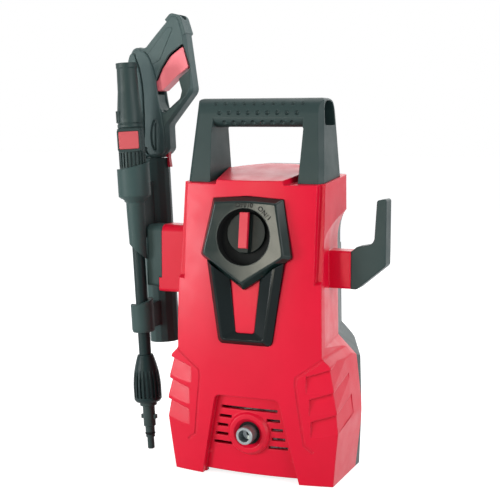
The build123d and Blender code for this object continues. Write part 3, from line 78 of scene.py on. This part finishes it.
# Surface detail that the materials share, with lengths in metres
NOISE_ROUGHNESS = 0.55
GRAIN_DETAIL = 2.0
PLAIN_DETAIL = 3.0
FINE_DETAIL = 4.0
DRIFT_SCALE = 14.0
SMEAR_SCALE = 45.0
STAIN_SCALE = 60.0
RUB_SCALE = 160.0
RUB_START = 0.35
RUB_END = 0.7
PLASTIC_SMOOTHER = 0.05
PLASTIC_ROUGHER = 0.06
PLASTIC_BUMP = 0.0003
METAL_SMOOTHER = 0.06
METAL_ROUGHER = 0.1
METAL_BUMP = 0.0002
METAL_EDGE = 0.0004
EDGE_SAMPLES = 6
EDGE_FULL = 0.80
EDGE_NONE = 0.99
# The paler edges' greatest share: partly wear, partly painted highlight
EDGE_WEAR_AND_HIGHLIGHT = 0.35


def feed(tree, socket, value):
    """Links an output to a node's input, or sets the input to a constant."""
    if isinstance(value, bpy.types.NodeSocket):
        tree.links.new(value, socket)
    else:
        socket.default_value = value


def maths(tree, operation, *values, kind="ShaderNodeMath", result="Value"):
    """The result of a maths node whose inputs are outputs of other nodes or constants."""
    made = tree.nodes.new(kind)
    made.operation = operation
    for socket, value in zip(made.inputs, values):
        feed(tree, socket, value)
    return made.outputs[result]


def vector_maths(tree, operation, *values, result="Vector"):
    """The same for vectors; the result is Value where the operation gives a number."""
    return maths(tree, operation, *values, kind="ShaderNodeVectorMath", result=result)


def noise(tree, coords, scale, detail=PLAIN_DETAIL):
    """A noise texture's factor."""
    made = tree.nodes.new("ShaderNodeTexNoise")
    made.inputs["Scale"].default_value = scale
    made.inputs["Detail"].default_value = detail
    made.inputs["Roughness"].default_value = NOISE_ROUGHNESS
    tree.links.new(coords, made.inputs["Vector"])
    return made.outputs["Fac"]


def spread(tree, fac, low, high, start=0.3, end=0.7):
    """The factor's stretch from start to end, spread over another range."""
    made = tree.nodes.new("ShaderNodeMapRange")
    made.inputs["From Min"].default_value = start
    made.inputs["From Max"].default_value = end
    made.inputs["To Min"].default_value = low
    made.inputs["To Max"].default_value = high
    tree.links.new(fac, made.inputs["Value"])
    return made.outputs["Result"]


def mixed(tree, fac, first, second):
    """Two colours, each a tuple or a socket, mixed by a factor."""
    made = tree.nodes.new("ShaderNodeMix")
    made.data_type = "RGBA"
    for socket, colour in ((made.inputs[6], first), (made.inputs[7], second)):
        feed(tree, socket, (*colour, 1.0) if isinstance(colour, tuple) else colour)
    tree.links.new(fac, made.inputs[0])
    return made.outputs[2]


def edges(tree, radius):
    """A mask that is high along edges, and a normal that rounds them."""
    bevel = tree.nodes.new("ShaderNodeBevel")
    bevel.samples = EDGE_SAMPLES
    bevel.inputs["Radius"].default_value = radius
    rounded = bevel.outputs["Normal"]
    flat = tree.nodes.new("ShaderNodeNewGeometry").outputs["Normal"]
    likeness = vector_maths(tree, "DOT_PRODUCT", rounded, flat, result="Value")
    return spread(tree, likeness, 1.0, 0.0, EDGE_FULL, EDGE_NONE), rounded


def bump(tree, shader, height, normal, strength, distance):
    """Gives the shader a normal that is raised by a height."""
    made = tree.nodes.new("ShaderNodeBump")
    made.inputs["Strength"].default_value = strength
    made.inputs["Distance"].default_value = distance
    tree.links.new(height, made.inputs["Height"])
    tree.links.new(normal, made.inputs["Normal"])
    tree.links.new(made.outputs["Normal"], shader.inputs["Normal"])


def fresh(name):
    """A new material with one principled shader, and the coordinates of the object that wears it."""
    material = bpy.data.materials.new(name)
    material.use_nodes = True
    tree = material.node_tree
    tree.nodes.clear()
    output = tree.nodes.new("ShaderNodeOutputMaterial")
    shader = tree.nodes.new("ShaderNodeBsdfPrincipled")
    tree.links.new(shader.outputs["BSDF"], output.inputs["Surface"])
    coords = tree.nodes.new("ShaderNodeTexCoord").outputs["Object"]
    return material, tree, shader, coords


def moulded(name, colour, shade, edge_wear_and_highlight_colour, rough, specular=0.5, radius=0.0009, grain=1500.0, depth=0.12):
    """Moulded plastic: broad colour drift, fine grain, roughness drift, and paler edges in patches that are partly
    wear and partly painted highlight.
    """
    material, tree, shader, coords = fresh(name)
    mask, rounded = edges(tree, radius)
    drift = spread(tree, noise(tree, coords, DRIFT_SCALE), 0.0, 1.0)
    rub = spread(tree, noise(tree, coords, RUB_SCALE, FINE_DETAIL), 0.0, EDGE_WEAR_AND_HIGHLIGHT, RUB_START, RUB_END)
    # Paler edges: partly wear, partly a painted highlight along the rounded edges
    worn_and_lit = maths(tree, "MULTIPLY", mask, rub)
    base = mixed(tree, worn_and_lit, mixed(tree, drift, colour, shade), edge_wear_and_highlight_colour)
    tree.links.new(base, shader.inputs["Base Color"])
    smear = noise(tree, coords, SMEAR_SCALE, FINE_DETAIL)
    finish = spread(tree, smear, rough - PLASTIC_SMOOTHER, rough + PLASTIC_ROUGHER)
    tree.links.new(finish, shader.inputs["Roughness"])
    shader.inputs["Specular IOR Level"].default_value = specular
    bump(tree, shader, noise(tree, coords, grain, GRAIN_DETAIL), rounded, depth, PLASTIC_BUMP)
    return material


def metal(name, colour, shade, rough, drawn=(1.0, 1.0, 1.0), grain=900.0, depth=0.05, metallic=1.0):
    """Turned or cast metal, with tool marks drawn out by a scale along each axis."""
    material, tree, shader, coords = fresh(name)
    rounded = edges(tree, METAL_EDGE)[1]
    mapping = tree.nodes.new("ShaderNodeMapping")
    mapping.inputs["Scale"].default_value = drawn
    tree.links.new(coords, mapping.inputs["Vector"])
    marks = noise(tree, mapping.outputs["Vector"], grain)
    stain = spread(tree, noise(tree, coords, STAIN_SCALE, FINE_DETAIL), 0.0, 1.0)
    tree.links.new(mixed(tree, stain, colour, shade), shader.inputs["Base Color"])
    finish = spread(tree, marks, rough - METAL_SMOOTHER, rough + METAL_ROUGHER)
    tree.links.new(finish, shader.inputs["Roughness"])
    shader.inputs["Metallic"].default_value = metallic
    bump(tree, shader, marks, rounded, depth, METAL_BUMP)
    return material


# Red plastics: the housing, small pieces, and the lance head's button and the trigger, both paler and pinker as
# painted highlight
RED = moulded(
    "red_plastic", (0.60, 0.002, 0.027), (0.55, 0.002, 0.023), (0.78, 0.08, 0.12),
    rough=0.34, specular=0.21, radius=0.0020)
RED_SMALL = moulded(
    "red_small_plastic", (0.52, 0.008, 0.032), (0.46, 0.006, 0.026), (0.82, 0.08, 0.12),
    rough=0.36, specular=0.35, radius=0.0008)
# The button's paler red is a painted highlight
RED_HIGHLIT_BUTTON = moulded(
    "red_button_painted_highlight_plastic", (0.48, 0.066, 0.078), (0.43, 0.052, 0.064), (0.78, 0.16, 0.18),
    rough=0.40, specular=0.45, radius=0.0008)
# The trigger's pink is a painted highlight over its red
RED_HIGHLIT_TRIGGER = moulded(
    "red_trigger_painted_highlight_plastic", (0.84, 0.180, 0.220), (0.78, 0.150, 0.188), (0.88, 0.24, 0.27),
    rough=0.42, radius=0.0016)

# Dark grained plastics: general, the lance, the holder (a lighter copy with painted light) and the gun
DARK = moulded(
    "dark_plastic", (0.019, 0.038, 0.037), (0.015, 0.031, 0.031), (0.08, 0.11, 0.11),
    rough=0.44, specular=0.22, grain=1100.0, depth=0.2)
DARK_DEEP = moulded(
    "dark_lance_plastic", (0.007, 0.021, 0.022), (0.005, 0.017, 0.018), (0.05, 0.08, 0.08),
    rough=0.40, specular=0.15, grain=1100.0, depth=0.2)
# The holder's lighter colour is painted light, standing for light that falls short in the gap by the housing
DARK_HOLDER_LIT = moulded(
    "dark_holder_painted_light_plastic", (0.036, 0.066, 0.065), (0.030, 0.056, 0.055), (0.09, 0.13, 0.13),
    rough=0.48, specular=0.13, radius=0.0022, grain=1100.0, depth=0.2)
DARK_SOFT = moulded(
    "dark_grip_plastic", (0.053, 0.088, 0.088), (0.044, 0.075, 0.075), (0.15, 0.21, 0.21),
    rough=0.50, specular=0.25, radius=0.0014, grain=800.0, depth=0.25)

# Black plastics: the glossy trim, the panel, the knob and the panel's marks
GLOSS = moulded(
    "black_gloss_plastic", (0.003, 0.007, 0.008), (0.002, 0.006, 0.006), (0.022, 0.030, 0.031),
    rough=0.12, specular=0.14, radius=0.0014, grain=300.0, depth=0.02)
BEZEL = moulded(
    "black_bezel_plastic", (0.007, 0.017, 0.016), (0.005, 0.013, 0.012), (0.03, 0.040, 0.038),
    rough=0.13, specular=0.24, radius=0.0014, grain=300.0, depth=0.02)
KNOB = moulded(
    "black_knob_plastic", (0.007, 0.012, 0.011), (0.005, 0.009, 0.008), (0.05, 0.055, 0.055),
    rough=0.36, specular=0.14, radius=0.0007, grain=1200.0, depth=0.08)
MARKS = moulded(
    "raised_marks", (0.005, 0.005, 0.005), (0.004, 0.004, 0.004), (0.012, 0.012, 0.012),
    rough=0.6, specular=0.1, radius=0.0002)

# Rubber, carbon and metals
RUBBER = moulded(
    "rubber", (0.007, 0.008, 0.009), (0.005, 0.006, 0.007), (0.03, 0.03, 0.03), rough=0.7, specular=0.15)
CARBON = moulded(
    "pressed_carbon", (0.025, 0.025, 0.026), (0.015, 0.015, 0.016), (0.07, 0.07, 0.07), rough=0.5)
BRIGHT = metal(
    "bright_steel", (0.28, 0.32, 0.33), (0.21, 0.24, 0.25), rough=0.30, drawn=(1.0, 12.0, 1.0), metallic=0.7)
STEEL = metal(
    "machined_steel", (0.52, 0.52, 0.53), (0.42, 0.42, 0.43), rough=0.34, drawn=(1.0, 1.0, 6.0))
ALLOY = metal(
    "cast_alloy", (0.60, 0.60, 0.61), (0.50, 0.50, 0.51), rough=0.48, grain=500.0, depth=0.25)
BRASS = metal(
    "turned_brass", (0.68, 0.48, 0.20), (0.55, 0.37, 0.14), rough=0.28, drawn=(1.0, 1.0, 8.0))

# Each node takes its own material, or else its slot's
FINISH = {
    "red_plastic": RED, "dark_plastic": DARK, "black_gloss": GLOSS, "bright_steel": BRIGHT, "steel": STEEL,
    "cast_alloy": ALLOY, "rubber": RUBBER, "brass": BRASS, "carbon": CARBON,
}
OWN = {
    "knob_pointer": RED_SMALL, "nozzle_button": RED_HIGHLIT_BUTTON, "gun_latch": RED_SMALL, "gun_trigger": RED_HIGHLIT_TRIGGER,
    "switch_knob": KNOB, "switch_bezel": BEZEL, "accessory_holder": DARK_HOLDER_LIT,
    "grip_inlays": DARK_SOFT, "gun_shell_front": DARK_SOFT, "gun_shell_rear": DARK_SOFT,
    "lance_nut": DARK_DEEP, "lance_tube": DARK_DEEP,
}
for part in frame["record"]["subparts"]:
    mesh = nodes[part["node"]].data
    mesh.materials.clear()
    mesh.materials.append(OWN.get(part["node"], FINISH[part["material_slot"]]))

# The panel's middle and directions, taken from the knob, whose axis is a little above that middle
KNOB_RISE = 0.005
PANEL_OUT = -Vector(joints["switch_turn"]["axis"])
PANEL_RIGHT = Vector((1.0, 0.0, 0.0))
PANEL_UP = PANEL_OUT.cross(PANEL_RIGHT)
PANEL_AT = Vector(joints["switch_turn"]["pos_m"]) - KNOB_RISE * PANEL_UP

# The panel's round well
WELL_R = 0.0323
WELL_LIP = 0.0012
WELL_BLUR = 0.0004
# Painted shade for the well's colour
WELL_SHADE = (0.002, 0.003, 0.003)
WELL_ROUGHER = 0.7


def matt_shaded_well(material):
    """Gives the panel's well a matt finish and a painted shade, by depth below the face and distance from its
    axis.
    """
    tree = material.node_tree
    shader = next(node for node in tree.nodes if node.type == "BSDF_PRINCIPLED")
    coords = next(node for node in tree.nodes if node.type == "TEX_COORD").outputs["Object"]
    offset = vector_maths(tree, "SUBTRACT", coords, PANEL_AT)
    depth = vector_maths(tree, "DOT_PRODUCT", offset, -PANEL_OUT, result="Value")
    across = vector_maths(tree, "CROSS_PRODUCT", offset, PANEL_OUT)
    reach = vector_maths(tree, "LENGTH", across, result="Value")
    below = spread(tree, depth, 0.0, 1.0, 0.5 * WELL_LIP, WELL_LIP)
    within = spread(tree, reach, 1.0, 0.0, WELL_R, WELL_R + WELL_BLUR)
    mask = maths(tree, "MULTIPLY", below, within)
    face_colour = shader.inputs["Base Color"].links[0].from_socket
    face_rough = shader.inputs["Roughness"].links[0].from_socket
    # Painted shade: the well's colour is darkened below the face
    tree.links.new(mixed(tree, mask, face_colour, WELL_SHADE), shader.inputs["Base Color"])
    rough = maths(tree, "MULTIPLY_ADD", mask, WELL_ROUGHER, face_rough)
    tree.links.new(rough, shader.inputs["Roughness"])


matt_shaded_well(BEZEL)


def solid_from(curve, right, up, out, at):
    """The curve's solid as a mesh, with its plane laid on the given directions."""
    made = bpy.data.objects.new(curve.name, curve)
    scene.collection.objects.link(made)
    solid = bpy.data.meshes.new_from_object(made.evaluated_get(bpy.context.evaluated_depsgraph_get()))
    bpy.data.objects.remove(made)
    place = Matrix((right, up, out)).transposed().to_4x4()
    solid.transform(Matrix.Translation(at) @ place)
    if place.determinant() < 0:
        solid.flip_normals()
    return solid


def carried(name, solid, material, body):
    """Puts a mesh into the scene as a piece on a body."""
    solid.materials.clear()
    solid.materials.append(material)
    piece = bpy.data.objects.new(name, solid)
    scene.collection.objects.link(piece)
    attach(piece, body)
    return piece


# Raised switch marks on the panel, in a font whose capitals are a share of its size
MARK_HEIGHT = 0.0053
MARK_RISE = 0.0002
MARK_BOLD = 0.00016
MARK_SPACING = 1.15
CAPITAL_SHARE = 0.7


def mark(name, text, right, up, turn):
    """A short raised word on the panel face, turned about the panel's normal."""
    curve = bpy.data.curves.new(name, "FONT")
    curve.body = text
    curve.size = MARK_HEIGHT / CAPITAL_SHARE
    curve.align_x = "CENTER"
    curve.align_y = "CENTER"
    curve.extrude = MARK_RISE
    curve.offset = MARK_BOLD
    curve.space_character = MARK_SPACING
    spin = Matrix.Rotation(turn, 3, PANEL_OUT)
    at = PANEL_AT + PANEL_RIGHT * right + PANEL_UP * up
    solid = solid_from(curve, spin @ PANEL_RIGHT, spin @ PANEL_UP, PANEL_OUT, at)
    carried(name, solid, MARKS, "machine")


mark("switch_mark_off", "OFF/0", -0.0005, 0.0354, 0.0)
mark("switch_mark_on", "ON/1", 0.0243, 0.0270, radians(-43))

# Raised cheeks on the gun: a rail and a face with a slot, as outlines in millimetres seen from the front
MILLIMETRES = 1000
gun_low, gun_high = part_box("gun_shell_front")
GUN_Y = gun_high.y
GUN_HALF = gun_high.y - gun_low.y
CHEEK_HALF = 0.0012
CHEEK_ROUND = 0.0011
CHEEK_ROUND_STEPS = 3
CHEEK_CURVE_STEPS = 8
CHEEK_FACE = [
    (-170.5, 373.0), (-171.5, 400.0), (-172.0, 430.0), (-173.5, 455.0), (-176.5, 473.0), (-180.5, 486.0),
    (-184.0, 495.0), (-182.5, 500.0), (-177.5, 500.3), (-172.0, 498.3), (-167.5, 494.0), (-163.0, 485.0),
    (-159.0, 472.0), (-156.2, 458.0), (-153.2, 440.0), (-149.8, 425.0), (-146.8, 412.0), (-145.2, 398.0),
    (-144.4, 385.0), (-145.8, 375.5), (-152.0, 372.2), (-162.0, 372.0),
]
CHEEK_RAIL = [
    (-180.2, 372.5), (-184.0, 400.0), (-188.0, 430.0), (-191.9, 460.0), (-194.6, 482.0), (-193.4, 491.0),
    (-189.8, 496.8), (-186.6, 496.2), (-183.2, 488.0), (-179.0, 475.0), (-175.8, 456.0), (-174.2, 430.0),
    (-173.6, 400.0), (-172.6, 374.0), (-176.0, 371.8),
]
SLOT_X = -157.5
SLOT_LOW = 381.0
SLOT_HIGH = 412.0
SLOT_HALF = 3.4
SLOT = [
    (SLOT_X - SLOT_HALF, SLOT_LOW), (SLOT_X - SLOT_HALF, SLOT_HIGH), (SLOT_X, SLOT_HIGH + SLOT_HALF),
    (SLOT_X + SLOT_HALF, SLOT_HIGH), (SLOT_X + SLOT_HALF, SLOT_LOW), (SLOT_X, SLOT_LOW - SLOT_HALF),
]


def cheek(name, side):
    """The raised cheek on one shell; side -1 is the shell toward the front of the machine."""
    curve = bpy.data.curves.new(name, "CURVE")
    curve.dimensions = "2D"
    curve.fill_mode = "BOTH"
    curve.resolution_u = CHEEK_CURVE_STEPS
    curve.extrude = CHEEK_HALF
    curve.bevel_depth = CHEEK_ROUND
    curve.bevel_resolution = CHEEK_ROUND_STEPS
    curve.offset = -CHEEK_ROUND
    for outline in (CHEEK_FACE, CHEEK_RAIL, SLOT):
        spline = curve.splines.new("BEZIER")
        spline.bezier_points.add(len(outline) - 1)
        for point, (across, height) in zip(spline.bezier_points, outline):
            point.co = (across / MILLIMETRES, height / MILLIMETRES, 0.0)
            point.handle_left_type = point.handle_right_type = "AUTO"
        spline.use_cyclic_u = True
    at = Vector((0.0, GUN_Y + side * GUN_HALF, 0.0))
    solid = solid_from(curve, Vector((1, 0, 0)), Vector((0, 0, 1)), Vector((0, side, 0)), at)
    carried(name, solid, DARK_SOFT, "gun")


cheek("gun_cheek_front", -1)
cheek("gun_cheek_rear", 1)

# The spring that the lance head's button presses flat, in a pocket across the spray collar's axis
COLLAR_AT = Vector(joints["collar_turn"]["pos_m"])
COLLAR_AXIS = Vector(joints["collar_turn"]["axis"])
BUTTON_BELOW = 0.0485
BUTTON_AT = COLLAR_AT - BUTTON_BELOW * COLLAR_AXIS
BUTTON_OUT = -Vector(joints["head_button_press"]["axis"]).normalized()
POCKET_FLOOR = 0.0104
SPRING_R = 0.004
SPRING_WIRE = 0.00035
SPRING_RISE = 0.002
SPRING_TURNS = 2
SPRING_STEPS = 72
WIRE_ROUND_STEPS = 2


def button_coil(name):
    """A short coil spring standing on the floor of the button's pocket."""
    curve = bpy.data.curves.new(name, "CURVE")
    curve.dimensions = "3D"
    curve.bevel_depth = SPRING_WIRE
    curve.bevel_resolution = WIRE_ROUND_STEPS
    curve.use_fill_caps = True
    spline = curve.splines.new("POLY")
    spline.points.add(SPRING_STEPS)
    for step, point in enumerate(spline.points):
        share = step / SPRING_STEPS
        turn = 2 * pi * SPRING_TURNS * share
        point.co = (SPRING_R * cos(turn), SPRING_R * sin(turn), SPRING_WIRE + SPRING_RISE * share, 1.0)
    side = BUTTON_OUT.cross(Vector((0, 0, 1))).normalized()
    foot = BUTTON_AT + BUTTON_OUT * POCKET_FLOOR
    solid = solid_from(curve, side, BUTTON_OUT.cross(side), BUTTON_OUT, foot)
    piece = carried(name, solid, STEEL, "lance")
    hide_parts("button_spring")
    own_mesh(piece)


button_coil("button_coil")

# Floor and world: white where the camera or a reflection sees them, and plain light for the object
WHITE = (1.0, 1.0, 1.0)
FLOOR_SPAN = 12.0
FLOOR_DROP = 0.0005
FLOOR_SEEN = (0.55, 0.55, 0.55)
FLOOR_GLOW = 0.80
FLOOR_BOUNCE = (0.7, 0.7, 0.7)
SKY = (0.94, 0.96, 1.0)
SKY_LIGHT = 0.42


def background_rays(tree):
    """High for rays that see the background: camera, glossy and transmission rays."""
    path = tree.nodes.new("ShaderNodeLightPath").outputs
    reflected = maths(tree, "MAXIMUM", path["Is Glossy Ray"], path["Is Transmission Ray"])
    return maths(tree, "MAXIMUM", path["Is Camera Ray"], reflected)


def coloured(tree, kind, colour, strength=None):
    """A shader of one kind and colour, with a strength where it gives light."""
    made = tree.nodes.new(kind)
    made.inputs["Color"].default_value = (*colour, 1.0)
    if strength is not None:
        made.inputs["Strength"].default_value = strength
    return made.outputs[0]


def shown_apart(tree, lighting, seen, output):
    """One shader lights the object, and another is what the camera and reflections see."""
    choose = tree.nodes.new("ShaderNodeMixShader")
    tree.links.new(background_rays(tree), choose.inputs[0])
    tree.links.new(lighting, choose.inputs[1])
    tree.links.new(seen, choose.inputs[2])
    tree.links.new(choose.outputs[0], tree.nodes.new(output).inputs["Surface"])


def floor_finish():
    """A pale floor that glows where it is seen and still takes the object's shadow."""
    material = bpy.data.materials.new("floor")
    material.use_nodes = True
    tree = material.node_tree
    tree.nodes.clear()
    seen = tree.nodes.new("ShaderNodeAddShader")
    tree.links.new(coloured(tree, "ShaderNodeBsdfDiffuse", FLOOR_SEEN), seen.inputs[0])
    tree.links.new(coloured(tree, "ShaderNodeEmission", WHITE, FLOOR_GLOW), seen.inputs[1])
    bounce = coloured(tree, "ShaderNodeBsdfDiffuse", FLOOR_BOUNCE)
    shown_apart(tree, bounce, seen.outputs[0], "ShaderNodeOutputMaterial")
    return material


def lay_floor():
    """One large flat face just under the object."""
    corners = [(x * FLOOR_SPAN, y * FLOOR_SPAN, 0) for x, y in ((-1, -1), (1, -1), (1, 1), (-1, 1))]
    mesh = bpy.data.meshes.new("floor")
    mesh.from_pydata(corners, [], [(0, 1, 2, 3)])
    mesh.materials.append(floor_finish())
    floor = bpy.data.objects.new("floor", mesh)
    floor.location = (0, 0, -FLOOR_DROP)
    scene.collection.objects.link(floor)


def raise_sky():
    """A white background that lights the object evenly and more dimly."""
    world = bpy.data.worlds.new("studio")
    scene.world = world
    world.use_nodes = True
    tree = world.node_tree
    tree.nodes.clear()
    lighting = coloured(tree, "ShaderNodeBackground", SKY, SKY_LIGHT)
    seen = coloured(tree, "ShaderNodeBackground", WHITE, 1.0)
    shown_apart(tree, lighting, seen, "ShaderNodeOutputWorld")


lay_floor()
raise_sky()

# Soft studio lamps; the accent is a warm strip aimed at the panel
BODY_AIM = (0.0, 0.0, 0.22)
PANEL_AIM = (0.02, -0.107, 0.285)
WARM = (1.0, 0.94, 0.78)


def softbox(name, at, aim, width, height, power, colour=WHITE):
    """A rectangular lamp that faces a point; its power is in watts."""
    data = bpy.data.lights.new(name, "AREA")
    data.color = colour
    data.shape = "RECTANGLE"
    data.size = width
    data.size_y = height
    data.energy = power
    lamp = bpy.data.objects.new(name, data)
    lamp.location = at
    lamp.rotation_euler = (Vector(aim) - Vector(at)).to_track_quat("-Z", "Y").to_euler()
    scene.collection.objects.link(lamp)


softbox("key", (-1.40, -1.36, 0.36), BODY_AIM, 0.46, 0.70, 22)
softbox("accent", (-0.465, -1.45, 0.38), PANEL_AIM, 0.18, 0.69, 5.4, WARM)
softbox("fill", (1.8, -0.7, 0.8), BODY_AIM, 1.2, 1.4, 24)
softbox("top", (0.0, 0.5, 2.0), BODY_AIM, 1.4, 1.4, 15)
softbox("back", (-0.2, 1.9, 1.0), BODY_AIM, 1.8, 1.4, 10.5)
